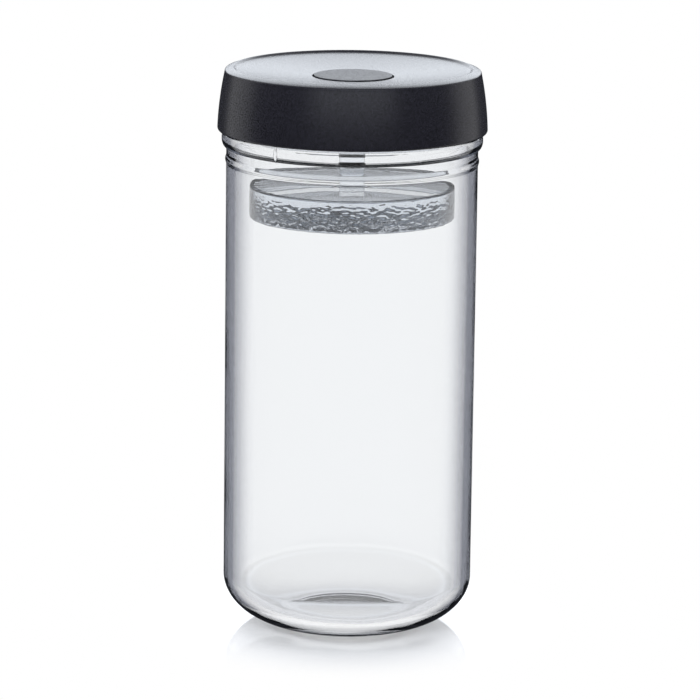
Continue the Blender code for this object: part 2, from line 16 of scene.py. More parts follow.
import bmesh
import bpy
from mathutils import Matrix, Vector


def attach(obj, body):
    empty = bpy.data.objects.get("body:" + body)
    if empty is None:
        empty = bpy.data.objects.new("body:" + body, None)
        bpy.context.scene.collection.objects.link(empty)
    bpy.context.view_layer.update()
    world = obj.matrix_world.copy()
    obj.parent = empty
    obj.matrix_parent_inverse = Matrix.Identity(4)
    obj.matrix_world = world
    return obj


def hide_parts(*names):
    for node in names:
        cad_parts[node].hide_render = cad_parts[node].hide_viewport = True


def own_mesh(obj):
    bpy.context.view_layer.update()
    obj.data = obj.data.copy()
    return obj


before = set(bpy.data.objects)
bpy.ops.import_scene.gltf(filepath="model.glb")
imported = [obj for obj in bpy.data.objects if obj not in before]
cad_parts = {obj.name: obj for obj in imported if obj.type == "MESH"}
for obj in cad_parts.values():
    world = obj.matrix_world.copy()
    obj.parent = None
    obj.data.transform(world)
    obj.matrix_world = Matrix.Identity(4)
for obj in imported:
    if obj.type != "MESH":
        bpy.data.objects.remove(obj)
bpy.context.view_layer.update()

logging.basicConfig(level=logging.INFO, format="%(message)s")
log = logging.getLogger("fermentation_jar")

MM = 0.001
WELD = 1e-7             # metres within which two vertices are one
FINE_TURN = 256         # facets round a large piece
SMALL_TURN = 96         # facets round a small piece
ARC_STEP = 9.0          # degrees for each facet of a rounded corner
SMOOTH_BELOW = 32.0     # degrees between faces that still shade as one surface
NOISE_SPAN = (0.3, 0.7)     # nearly all values of a noise lie between these
WHITE = (1.0, 1.0, 1.0, 1.0)

Point = tuple[float, float]
Triple = tuple[float, float, float]
Stops = Sequence[tuple[float, str]]
Piece = bpy.types.Object
Socket = bpy.types.NodeSocket


class CadBody(Enum):
    """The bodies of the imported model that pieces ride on."""

    JAR = "jar"
    HOLDER = "holder"
    LID = "lid"
    WEIGHT = "weight"
    BUTTON = "button"
    FLAP = "flap"


@dataclass(frozen=True)
class Levels:
    """Heights and radii that several pieces share, in mm."""

    fit: float = 0.3
    bead_foot: float = 219.3
    bead_top: float = 226.4
    lid_edge: float = 226.7
    rim_top: float = 243.6
    gasket_foot: float = 243.9
    plate_foot: float = 245.8
    plate_top: float = 247.6
    well_floor: float = 242.6
    well_foot: float = 240.8
    top_under: float = 249.4
    dish_middle: float = 251.2
    lid_top: float = 255.1
    button_top: float = 251.7
    collar_foot: float = 247.9
    plug_foot: float = 238.9
    flange_foot: float = 238.1
    holder_foot: float = 218.5
    stem_top: float = 218.2
    weight_top: float = 202.4
    weight_foot: float = 187.9
    body: float = 56.5
    body_inner: float = 52.6
    neck: float = 53.0
    mouth: float = 49.4
    insert_inner: float = 55.0
    insert_outer: float = 56.4
    button: float = 17.5
    collar: float = 18.3
    thread_lead: float = 16.8
    thread_start: float = 230.5


LEVELS = Levels()


def linear(color: str) -> tuple[float, float, float, float]:
    """Turns an sRGB hex colour into linear red, green, blue and alpha.

    Args:
        color: Six hex digits after a hash sign.

    Returns:
        The four linear values, alpha being 1.
    """
    values = [int(color[place:place + 2], 16) / 255 for place in (1, 3, 5)]
    curved = [v / 12.92 if v <= 0.04045 else ((v + 0.055) / 1.055) ** 2.4 for v in values]
    return (*curved, 1.0)


def add_node(
    tree: bpy.types.NodeTree, kind: str, values: dict | None = None, links: dict | None = None,
    stops: Stops = (), smooth: bool = False, **settings,
) -> bpy.types.Node:
    """Adds a node with its settings, socket values and links.

    Args:
        tree: The tree that gets the node.
        kind: The node's type name without ShaderNode.
        values: Value for each input socket, by name or number.
        links: Source for each input, by name or number: a socket, or a node for its first output.
        stops: Position and sRGB hex colour of each stop of a colour ramp, in order.
        smooth: True to ease between the stops.
        **settings: The node's own properties.

    Returns:
        The new node.
    """
    node = tree.nodes.new("ShaderNode" + kind)
    for name, value in settings.items():
        setattr(node, name, value)
    for socket, value in (values or {}).items():
        node.inputs[socket].default_value = value
    for socket, source in (links or {}).items():
        source = source.outputs[0] if isinstance(source, bpy.types.Node) else source
        tree.links.new(source, node.inputs[socket])
    if stops:
        ramp = node.color_ramp
        ramp.interpolation = "EASE" if smooth else "LINEAR"
        while len(ramp.elements) < len(stops):
            ramp.elements.new(1.0)
        for element, (position, color) in zip(ramp.elements, stops):
            element.position = position
            element.color = linear(color)
    return node


def nodes_for(owner: bpy.types.Material | bpy.types.World, space: str = "Object") -> tuple[Callable, Socket]:
    """Clears the nodes of a material or world and starts new ones.

    Args:
        owner: The material or world.
        space: The coordinates that its patterns follow.

    Returns:
        The add_node function for its tree, and the coordinates.
    """
    owner.use_nodes = True
    owner.node_tree.nodes.clear()
    node = partial(add_node, owner.node_tree)
    return node, node("TexCoord").outputs[space]


def per_metre(size: float) -> float:
    """Returns the noise scale that gives features of a size in mm on Object coordinates."""
    return 1.0 / (size * MM)


@dataclass(frozen=True)
class Glass:
    """Clear soda-lime glass, pressed in a mould and fire polished.

    It is colourless where it faces the eye, and its colour goes grey towards its outlines: painted shade
    that stands in for the dark edges which the surroundings give real glass there. Its smoke also darkens it
    where the light comes a long way through the wall. Faint streaks run down it, as poured glass cools with
    waves in it.
    """

    name: str
    clear: str
    outline: str
    outline_from: float
    outline_full: float
    inside: str
    outside_from: float
    streak: float
    streak_length: float
    streak_depth: float
    smoke: str
    smoke_density: float
    inside_from: float = 0.35
    inside_full: float = 0.8

    def make(self) -> bpy.types.Material:
        """Returns the material."""
        material = bpy.data.materials.new(self.name)
        node, place = nodes_for(material)
        # Painted shade: the colour goes grey where the surface turns away from the eye, dark grey on the
        # outer surface and pale grey on the inner surfaces.
        facing = node("LayerWeight", {"Blend": 0.5}).outputs["Facing"]
        painted_outline_shade, painted_inner_shade = (
            node("ValToRGB", links={"Fac": facing}, stops=stops, smooth=True)
            for stops in (
                [(self.outline_from, self.clear), (self.outline_full, self.outline)],
                [(self.inside_from, self.clear), (self.inside_full, self.inside)],
            )
        )
        flat = node("VectorMath", {1: (1.0, 1.0, 0.0)}, {0: place}, operation="MULTIPLY")
        reach = node("VectorMath", links={0: flat}, operation="LENGTH")
        outside = node(
            "Math", {1: self.outside_from * MM}, {0: reach.outputs["Value"]}, operation="GREATER_THAN",
        )
        color = node("Mix", links={0: outside, 6: painted_inner_shade, 7: painted_outline_shade}, data_type="RGBA")
        stretch = node("Mapping", {"Scale": (1.0, 1.0, self.streak / self.streak_length)}, {"Vector": place})
        streaks = node("TexNoise", {"Scale": per_metre(self.streak), "Detail": 1.0}, {"Vector": stretch})
        wave = node("Bump", {"Distance": self.streak_depth * MM}, {"Strength": outside, "Height": streaks})
        glass = node(
            "BsdfPrincipled", {"Roughness": 0.0, "IOR": 1.52, "Transmission Weight": 1.0},
            {"Base Color": color.outputs[2], "Normal": wave},
        )
        smoke = node("VolumeAbsorption", {"Color": linear(self.smoke), "Density": self.smoke_density})
        node("OutputMaterial", links={"Surface": glass, "Volume": smoke})
        return material


@dataclass(frozen=True)
class MouldedPlastic:
    """Polypropylene or ABS moulded in a spark-eroded mould: matte, with a fine even grain.

    The grain breaks the highlights into specks, and its hollows are painted a little darker than its tops,
    as painted shade.
    """

    name: str
    color: str
    hollow: str
    grain: float
    grain_depth: float
    roughness: float
    roughness_spread: float
    hollow_below: float = 0.36
    top_above: float = 0.62

    def make(self) -> bpy.types.Material:
        """Returns the material."""
        material = bpy.data.materials.new(self.name)
        node, place = nodes_for(material)
        grain = node(
            "TexNoise", {"Scale": per_metre(self.grain), "Detail": 2.0, "Roughness": 0.6}, {"Vector": place},
        )
        # Painted shade: the colour follows the grain's height, so that its hollows come out darker.
        color = node(
            "ValToRGB", links={"Fac": grain},
            stops=[(self.hollow_below, self.hollow), (self.top_above, self.color)],
        )
        gloss = node(
            "MapRange",
            {
                "From Min": NOISE_SPAN[0], "From Max": NOISE_SPAN[1],
                "To Min": self.roughness + self.roughness_spread,
                "To Max": self.roughness - self.roughness_spread,
            },
            {"Value": grain},
        )
        bump = node("Bump", {"Distance": self.grain_depth * MM}, {"Height": grain})
        plastic = node(
            "BsdfPrincipled", {"IOR": 1.49}, {"Base Color": color, "Roughness": gloss, "Normal": bump},
        )
        node("OutputMaterial", links={"Surface": plastic})
        return material


@dataclass(frozen=True)
class Silicone:
    """Moulded silicone rubber: soft looking, slightly cloudy, with a dusty sheen where it curves away."""

    name: str
    color: str
    cloud: str
    cloud_size: float
    roughness: float
    clearness: float
    sheen: float
    cloud_below: float = 0.35
    clear_above: float = 0.65

    def make(self) -> bpy.types.Material:
        """Returns the material."""
        material = bpy.data.materials.new(self.name)
        node, place = nodes_for(material)
        clouds = node("TexNoise", {"Scale": per_metre(self.cloud_size), "Detail": 3.0}, {"Vector": place})
        color = node(
            "ValToRGB", links={"Fac": clouds},
            stops=[(self.cloud_below, self.cloud), (self.clear_above, self.color)], smooth=True,
        )
        rubber = node(
            "BsdfPrincipled",
            {
                "Roughness": self.roughness, "IOR": 1.41, "Transmission Weight": self.clearness,
                "Sheen Weight": self.sheen, "Sheen Roughness": 0.4,
            },
            {"Base Color": color},
        )
        node("OutputMaterial", links={"Surface": rubber})
        return material


@dataclass(frozen=True)
class DrawnWire:
    """Stainless spring wire: bright, with fine drawing marks that break its highlights."""

    name: str
    color: str
    mark: float
    roughness: float
    smoothest: float = 0.7
    roughest: float = 1.4

    def make(self) -> bpy.types.Material:
        """Returns the material."""
        material = bpy.data.materials.new(self.name)
        node, place = nodes_for(material)
        marks = node("TexNoise", {"Scale": per_metre(self.mark), "Detail": 2.0}, {"Vector": place})
        gloss = node(
            "MapRange",
            {"To Min": self.roughness * self.smoothest, "To Max": self.roughness * self.roughest},
            {"Value": marks},
        )
        steel = node(
            "BsdfPrincipled", {"Base Color": linear(self.color), "Metallic": 1.0}, {"Roughness": gloss},
        )
        node("OutputMaterial", links={"Surface": steel})
        return material


# Thick clear glass, whose outline is painted as a dark grey line on white: painted shade.
JAR_GLASS = Glass(
    "pressed_jar_glass", clear="#fbfcfd", outline="#575a66", outline_from=0.33, outline_full=0.68,
    inside="#d2d4dc", outside_from=54.0, streak=5.0, streak_length=90.0, streak_depth=0.06,
    smoke="#e6e9ea", smoke_density=4.0,
)
# A heavy lump of glass, greyer than the thin wall, with short waves on its side. Its smoke is denser,
# and its outline is painted a darker grey, as painted shade.
WEIGHT_GLASS = Glass(
    "pressed_weight_glass", clear="#f6f8fb", outline="#4c4f5a", outline_from=0.45, outline_full=0.80,
    inside="#e6e9ee", outside_from=44.0, streak=2.4, streak_length=1.0, streak_depth=0.035,
    smoke="#ccd3dc", smoke_density=7.0,
)
# The real grain is about 0.15 mm across. On the cover and the button it is drawn coarser, so that it shows.
# On every plastic the grain's hollows are painted darker than its tops, as painted shade.
COVER_PLASTIC = MouldedPlastic(
    "anthracite_grained_plastic", color="#232229", hollow="#101014", grain=0.6, grain_depth=0.011,
    roughness=0.27, roughness_spread=0.05,
)
BUTTON_PLASTIC = MouldedPlastic(
    "grey_grained_button_plastic", color="#27282d", hollow="#111114", grain=0.8, grain_depth=0.09,
    roughness=0.48, roughness_spread=0.08,
)
# The inner parts come from a polished mould and show only a faint unevenness.
INSERT_PLASTIC = MouldedPlastic(
    "smooth_dark_inner_plastic", color="#3a3a3e", hollow="#333337", grain=2.0, grain_depth=0.01,
    roughness=0.4, roughness_spread=0.04,
)
SOCKET_PLASTIC = MouldedPlastic(
    "smooth_black_socket_plastic", color="#211f1d", hollow="#1b1917", grain=1.5, grain_depth=0.01,
    roughness=0.35, roughness_spread=0.04,
)
GASKET_SILICONE = Silicone(
    "cloudy_clear_silicone", color="#d3d5d2", cloud="#c2c5c1", cloud_size=6.0, roughness=0.42,
    clearness=0.3, sheen=0.2,
)
FLAP_SILICONE = Silicone(
    "pale_flap_silicone", color="#bfc1be", cloud="#b3b6b2", cloud_size=4.0, roughness=0.5,
    clearness=0.0, sheen=0.25,
)
PLUG_SILICONE = Silicone(
    "dark_plug_silicone", color="#3b3b3e", cloud="#323235", cloud_size=4.0, roughness=0.55,
    clearness=0.0, sheen=0.3,
)
# The real marks are a few hundredths of a mm wide, and are drawn coarser so that they show.
SPRING_STEEL = DrawnWire("drawn_spring_steel", color="#cfcdc9", mark=0.4, roughness=0.25)


def arc(middle: Point, reach: float, rise: float, start: float, end: float, steps: int) -> list[Point]:
    """Points along part of an ellipse.

    Args:
        middle: The ellipse's centre.
        reach: Its half width.
        rise: Its half height.
        start: First angle in degrees.
        end: Last angle in degrees.
        steps: Number of pieces between them.

    Returns:
        The points, both ends included.
    """
    angles = [math.radians(start + (end - start) * step / steps) for step in range(steps + 1)]
    return [(middle[0] + reach * math.cos(a), middle[1] + rise * math.sin(a)) for a in angles]


def rounded(corners: Sequence[Triple], closed: bool = False) -> list[Point]:
    """Rounds the corners of a line.

    Args:
        corners: Radius, height and rounding of each corner, in order.
        closed: True if the last corner joins the first.

    Returns:
        The points, with an arc at each rounded corner.
    """
    points: list[Point] = []
    count = len(corners)
    for index, (radius, height, rounding) in enumerate(corners):
        if rounding == 0.0 or (not closed and index in (0, count - 1)):
            points.append((radius, height))
            continue
        here = Vector((radius, height))
        back = Vector(corners[index - 1][:2]) - here
        ahead = Vector(corners[(index + 1) % count][:2]) - here
        half = back.angle(ahead) / 2
        trim = min(rounding / math.tan(half), 0.49 * back.length, 0.49 * ahead.length)
        start, end = here + back.normalized() * trim, here + ahead.normalized() * trim
        bend = math.degrees(math.pi - 2 * half)
        steps = max(2, round(bend / ARC_STEP))
        for step in range(steps + 1):
            share = step / steps
            points.append(tuple(start.lerp(here, share).lerp(here.lerp(end, share), share)))
    if closed:
        points.append(points[0])
    return points


def eased(share: float) -> float:
    """Returns a share from 0 to 1 that starts and ends level."""
    return share * share * (3.0 - 2.0 * share)


@contextmanager
def edit_mode() -> Iterator[None]:
    """Works in edit mode with everything selected, and goes back to object mode at the end."""
    bpy.ops.object.mode_set(mode="EDIT")
    bpy.ops.mesh.select_all(action="SELECT")
    yield
    bpy.ops.object.mode_set(mode="OBJECT")


def add_primitive(add: Callable, name: str, stretch: Triple = (1.0, 1.0, 1.0), **settings) -> Piece:
    """Adds a primitive with nothing else selected, and applies its place to its mesh.

    Args:
        add: The primitive's operator.
        name: Name of the new object.
        stretch: Its scale along X, Y and Z.
        **settings: The operator's settings.

    Returns:
        The new object.
    """
    bpy.ops.object.select_all(action="DESELECT")
    add(**settings)
    piece = bpy.context.object
    piece.name = piece.data.name = name
    piece.scale = stretch
    bpy.ops.object.transform_apply(location=True, rotation=True, scale=True)
    return piece


def draw(name: str, points: Sequence[Point]) -> Piece:
    """Draws a line of edges in the XZ plane by extruding one vertex.

    Args:
        name: Name of the new object.
        points: Radius and height of each point, in mm.

    Returns:
        The object.
    """
    piece = add_primitive(bpy.ops.mesh.primitive_plane_add, name, size=MM)
    with edit_mode():
        bpy.ops.mesh.merge(type="CENTER")
        bpy.ops.transform.translate(value=(points[0][0] * MM, 0.0, points[0][1] * MM))
        for here, there in pairwise(points):
            step = ((there[0] - here[0]) * MM, 0.0, (there[1] - here[1]) * MM)
            bpy.ops.mesh.extrude_region_move(TRANSFORM_OT_translate={"value": step})
    return piece


def turn(name: str, points: Sequence[Point], facets: int = FINE_TURN) -> Piece:
    """Spins a half section about the axis into a closed solid.

    Args:
        name: Name of the new object.
        points: The section; it starts and ends on the axis, or at the same point.
        facets: Number of facets round the axis.

    Returns:
        The object.
    """
    piece = draw(name, points)
    with edit_mode():
        bpy.ops.mesh.spin(steps=facets, angle=math.tau, center=(0, 0, 0), axis=(0, 0, 1))
        bpy.ops.mesh.select_all(action="SELECT")
        bpy.ops.mesh.remove_doubles(threshold=WELD)
        bpy.ops.mesh.normals_make_consistent(inside=False)
    return piece


def select_where(piece: Piece, test: Callable[[Vector], bool]) -> None:
    """Selects the vertices of the piece in edit mode whose place passes a test.

    Args:
        piece: The object that is in edit mode.
        test: Called with each vertex's place in metres.
    """
    bpy.ops.mesh.select_all(action="DESELECT")
    mesh = bmesh.from_edit_mesh(piece.data)
    for vertex in mesh.verts:
        vertex.select_set(test(vertex.co))
    mesh.select_flush_mode()
    bmesh.update_edit_mesh(piece.data)


def azimuth(place: Vector) -> float:
    """Returns the angle of a place round the axis, in degrees from +X."""
    return math.degrees(math.atan2(place.y, place.x))


def select_only(piece: Piece) -> None:
    """Makes a piece the only selected object, and active."""
    bpy.ops.object.select_all(action="DESELECT")
    piece.select_set(True)
    bpy.context.view_layer.objects.active = piece


def apply_modifier(piece: Piece, kind: str, **settings) -> None:
    """Adds a modifier to a piece and applies it.

    Args:
        piece: The object.
        kind: The modifier's type.
        **settings: The modifier's properties.
    """
    select_only(piece)
    modifier = piece.modifiers.new(kind.lower(), kind)
    for name, value in settings.items():
        setattr(modifier, name, value)
    bpy.ops.object.modifier_apply(modifier=modifier.name)


def combine(piece: Piece, tool: Piece, operation: str) -> None:
    """Joins a tool to a piece or cuts it out, and removes the tool.

    Args:
        piece: The object that stays.
        tool: The object that is joined or cut out.
        operation: UNION or DIFFERENCE.
    """
    apply_modifier(piece, "BOOLEAN", operation=operation, object=tool, solver="EXACT")
    bpy.data.objects.remove(tool, do_unlink=True)


def repeat_round(piece: Piece, count: int, first: float = 0.0) -> Piece:
    """Copies a piece round the axis and joins the copies.

    Args:
        piece: The one that is copied.
        count: How many there are in the end.
        first: Angle of the first one, in degrees.

    Returns:
        The joined object.
    """
    ring = []
    for index in range(count):
        select_only(piece)
        bpy.ops.object.duplicate()
        copy = bpy.context.object
        copy.rotation_euler.z = math.radians(first + 360.0 * index / count)
        bpy.ops.object.transform_apply(location=True, rotation=True, scale=True)
        ring.append(copy)
    bpy.data.objects.remove(piece, do_unlink=True)
    select_only(ring[0])
    for copy in ring[1:]:
        copy.select_set(True)
    bpy.ops.object.join()
    return ring[0]


def ripple(
    piece: Piece, name: str, size: float, depth: float, shares: dict[int, float], squeeze: float = 1.0
) -> None:
    """Moves part of a surface in and out by a noise.

    Args:
        piece: The object.
        name: Name of the noise.
        size: Length of its waves, in mm.
        depth: How far they reach from lowest to highest, in mm.
        shares: For each vertex that moves, how much of the depth it gets.
        squeeze: Height of the waves over their length.
    """
    group = piece.vertex_groups.new(name=name)
    for index, share in shares.items():
        group.add([index], share, "ADD")
    waves = bpy.data.textures.new(name, "CLOUDS")
    waves.noise_scale = size * MM
    waves.noise_depth = 1
    space = bpy.data.objects.new(name, None)
    space.scale.z = squeeze
    bpy.context.scene.collection.objects.link(space)
    bpy.context.view_layer.update()
    apply_modifier(
        piece, "DISPLACE", texture=waves, vertex_group=group.name, strength=depth * MM, mid_level=0.5,
        texture_coords="OBJECT", texture_coords_object=space,
    )
    bpy.data.objects.remove(space, do_unlink=True)
    piece.vertex_groups.clear()


@dataclass
class HelixRidge:
    """A short helical ridge on a round wall, which fades into the wall at both ends."""

    root: float
    crest: float
    root_width: float
    height: float
    span: float
    crest_width: float = 1.2
    rounding: float = 0.35
    sunk: float = 0.15
    facet: float = 2.0
    fade: float = 9.0

    def build(self, name: str) -> Piece:
        """Builds the ridge from angle 0 on, rising counter-clockwise.

        Args:
            name: Name of the new object.

        Returns:
            The ridge.
        """
        side = math.copysign(1.0, self.crest - self.root)
        ridge = draw(name, rounded([
            (self.root, self.height - self.root_width / 2, 0.0),
            (self.crest, self.height - self.crest_width / 2, self.rounding),
            (self.crest, self.height + self.crest_width / 2, self.rounding),
            (self.root, self.height + self.root_width / 2, 0.0),
        ], closed=True))
        with edit_mode():
            bpy.ops.mesh.remove_doubles(threshold=WELD)
        steps = round(self.span / self.facet)
        apply_modifier(
            ridge, "SCREW", angle=math.radians(self.span), steps=steps, render_steps=steps,
            screw_offset=LEVELS.thread_lead * self.span / 360.0 * MM, use_smooth_shade=True,
        )
        with edit_mode():
            bpy.ops.mesh.fill_holes(sides=0)
            sink = self.root + side * self.sunk
            for step in range(round(self.fade / self.facet)):
                shrink = 1.0 - eased(step * self.facet / self.fade)
                factor = 1.0 + (sink / self.crest - 1.0) * shrink
                for angle in (step * self.facet, self.span - step * self.facet):
                    select_where(ridge, lambda place, a=angle: abs(azimuth(place) - a) < self.facet / 4)
                    bpy.ops.transform.resize(value=(factor, factor, 1.0), center_override=(0.0, 0.0, 0.0))
            bpy.ops.mesh.select_all(action="SELECT")
            bpy.ops.mesh.normals_make_consistent(inside=False)
        return ridge


def finish_piece(
    piece: Piece, material: bpy.types.Material, body: CadBody, node: str,
    smooth_below: float = SMOOTH_BELOW,
) -> None:
    """Shades a piece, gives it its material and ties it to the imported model.

    Args:
        piece: The finished mesh.
        material: Its material.
        body: The body that it rides on.
        node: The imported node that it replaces.
        smooth_below: Degrees between faces that shade as one surface.
    """
    select_only(piece)
    bpy.ops.object.shade_smooth_by_angle(angle=math.radians(smooth_below))
    piece.data.materials.clear()
    piece.data.materials.append(material)
    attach(piece, body.value)
    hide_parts(node)
    log.info("%s: %d faces on body %s", piece.name, len(piece.data.polygons), body.value)


@dataclass
class GlassJar:
    """The pressed glass jar, one piece from foot ring to rim."""

    foot_inner: float = 27.6
    foot_outer: float = 32.1
    foot_inner_rounding: float = 3.0
    foot_outer_rounding: float = 6.0
    hollow_rise: float = 1.8
    corner_reach: float = 31.0
    corner_rise: float = 21.5
    corner_end: float = -66.0
    ridge_middle: float = 213.5
    ridge_half: float = 2.2
    ridge_proud: float = 0.5
    bead_proud: float = 2.1
    bead_fullness: float = 2.8
    taper_top: float = 227.4
    taper_drop: float = 4.4
    shoulder: float = 1.5
    rim_rounding: float = 1.5
    rim_straight: float = 1.0
    floor: float = 4.5
    floor_crown: float = 1.1
    thread_crest: float = 54.5
    thread_width: float = 2.6
    thread_sunk: float = 0.7
    thread_span: float = 100.0
    thread_starts: int = 4
    wobble: float = 0.22
    wobble_size: float = 22.0
    wobble_reach: float = 0.4
    wobble_below_rim: float = 6.0
    seam_angle: float = -125.0
    seam_out: float = 1.5
    seam_size: Triple = (1.0, 1.3, 3.4)
    steps: int = 12

    def outside(self) -> list[Point]:
        """Returns the outline from the middle of the base up to the rim."""
        corner_middle = LEVELS.body - self.corner_reach
        heel = arc(
            (corner_middle, self.corner_rise), self.corner_reach, self.corner_rise, self.corner_end, 0, 26
        )
        hollow = [
            (self.foot_inner * share / 8, self.hollow_rise * (1.0 - (share / 8) ** 2)) for share in range(8)
        ]
        foot = rounded([
            (*hollow[-1], 0.0), (self.foot_inner, 0.0, self.foot_inner_rounding),
            (self.foot_outer, 0.0, self.foot_outer_rounding), (*heel[0], 0.0),
        ])
        ridge = [
            (
                LEVELS.body + self.ridge_proud * (1.0 + math.cos(math.pi * step / 6)) / 2,
                self.ridge_middle + self.ridge_half * step / 6,
            )
            for step in range(-6, 7)
        ]
        bead_half = (LEVELS.bead_top - LEVELS.bead_foot) / 2
        bead = []
        for step in range(-self.steps, self.steps + 1):
            angle = math.radians(90.0 * step / self.steps)
            power = 2.0 / (self.bead_fullness if step > 0 else 2.0)
            reach = math.cos(angle) ** power if abs(step) < self.steps else 0.0
            rise = math.copysign(abs(math.sin(angle)) ** power, step)
            bead.append((LEVELS.body + self.bead_proud * reach, LEVELS.bead_foot + bead_half * (1.0 + rise)))
        neck = rounded([
            (LEVELS.body, LEVELS.bead_top, 0.0), (LEVELS.neck, LEVELS.bead_top, self.shoulder),
            (LEVELS.neck, LEVELS.rim_top, self.rim_rounding),
            (LEVELS.mouth, LEVELS.rim_top, self.rim_rounding),
            (LEVELS.mouth, LEVELS.rim_top - 2.0 * self.rim_rounding - self.rim_straight, 0.0),
        ])
        body = [(LEVELS.body, height) for height in range(40, 211, 10)]
        return hollow[:-1] + foot[:-1] + heel + body + ridge + bead + neck[1:]

    def inside(self) -> list[Point]:
        """Returns the outline from under the rim down to the middle of the floor."""
        taper = [
            (
                LEVELS.mouth + (LEVELS.body_inner - LEVELS.mouth) * eased(step / self.steps),
                self.taper_top - self.taper_drop * step / self.steps,
            )
            for step in range(self.steps + 1)
        ]
        wall = [(LEVELS.body_inner, height) for height in range(220, 34, -10)]
        reach = self.corner_reach - (LEVELS.body - LEVELS.body_inner)
        rise = self.corner_rise - (LEVELS.body - LEVELS.body_inner)
        middle = LEVELS.body_inner - reach
        corner = arc((middle, self.floor + rise), reach, rise, 0, -90, 24)
        floor = [
            (middle * (1.0 - step / 6), self.floor + self.floor_crown * (1.0 - (1.0 - step / 6) ** 2))
            for step in range(1, 7)
        ]
        return taper + wall + corner + floor

    def wobble_inside(self, jar: Piece) -> None:
        """Moves the inner wall a little in and out, as the plunger leaves it in pressed glass.

        Args:
            jar: The jar's mesh.
        """
        limit = (LEVELS.body_inner + self.wobble_reach) * MM
        top = (LEVELS.rim_top - self.wobble_below_rim) * MM
        inner = {
            v.index: 1.0 for v in jar.data.vertices
            if math.hypot(v.co.x, v.co.y) < limit and self.floor * MM < v.co.z < top
            and v.normal.x * v.co.x + v.normal.y * v.co.y < 0.0
        }
        ripple(jar, "plunger_waves", self.wobble_size, self.wobble, inner)

    def build(self) -> None:
        """Builds the jar with its thread ridges and its two mould seams on the bead."""
        jar = turn("pressed_jar", self.outside() + self.inside())
        self.wobble_inside(jar)
        ridge = HelixRidge(
            root=LEVELS.neck - self.thread_sunk, crest=self.thread_crest, root_width=self.thread_width,
            height=LEVELS.thread_start, span=self.thread_span,
        )
        combine(jar, repeat_round(ridge.build("thread_ridge"), self.thread_starts), "UNION")
        middle = (LEVELS.bead_foot + LEVELS.bead_top) / 2 * MM
        seam = add_primitive(
            bpy.ops.mesh.primitive_uv_sphere_add, "mould_seam", self.seam_size, segments=24, ring_count=14,
            radius=MM, location=((LEVELS.body + self.seam_out) * MM, 0.0, middle),
        )
        combine(jar, repeat_round(seam, 2, self.seam_angle), "UNION")
        finish_piece(jar, JAR_GLASS.make(), CadBody.JAR, "glass_jar")


@dataclass
class HangingWeight:
    """The glass weight: a thick disc with a rippled side, a stem and the spigot in the holder.

    The upper band of its side is calmer than the rest.
    """

    radius: float = 46.2
    top_rounding: float = 0.9
    foot_rounding: float = 2.3
    stem: float = 5.7
    fillet: float = 4.0
    spigot: float = 3.6
    spigot_top: float = 226.7
    ripple: float = 0.5
    edge_band: float = 2.5
    calm_band: float = 6.0
    calm: float = 0.2
    ripple_length: float = 2.8
    ripple_height: float = 1.0
    ring_gap: float = 0.4
    rings: int = 27
    facets: int = 640
    smooth_below: float = 60.0

    def section(self) -> list[Point]:
        """Returns the half section, with close rings on the side for its ripples."""
        low, high = LEVELS.weight_foot, LEVELS.weight_top
        top_rings = [(radius, high, 0.0) for radius in range(42, 11, -3)]
        side_foot = low + self.foot_rounding
        side = [(self.radius, side_foot + self.ring_gap * step, 0.0) for step in range(1, self.rings + 1)]
        bottom = [(radius, low, 0.0) for radius in range(0, 43, 6)]
        return rounded([
            *bottom, (self.radius, low, self.foot_rounding), *side, (self.radius, high, self.top_rounding),
            *top_rings, (self.stem, high, self.fillet), (self.stem, LEVELS.stem_top, 0.4),
            (self.spigot, LEVELS.stem_top, 0.2), (self.spigot, self.spigot_top, 0.6),
            (0.0, self.spigot_top, 0.0),
        ])

    def build(self) -> None:
        """Builds the weight."""
        weight = turn("hanging_weight", self.section(), self.facets)
        shares = {}
        for vertex in weight.data.vertices:
            out = math.hypot(vertex.co.x, vertex.co.y) / MM
            reach = (out - (self.radius - self.edge_band)) / self.edge_band
            below = eased(min(1.0, (LEVELS.weight_top - vertex.co.z / MM) / self.calm_band))
            if reach > 0.0:
                shares[vertex.index] = min(1.0, reach) * (self.calm + (1.0 - self.calm) * below)
        squeeze = self.ripple_height / self.ripple_length
        ripple(weight, "pressed_ripples", self.ripple_length, self.ripple, shares, squeeze)
        finish_piece(
            weight, WEIGHT_GLASS.make(), CadBody.WEIGHT, "glass_weight", self.smooth_below
        )


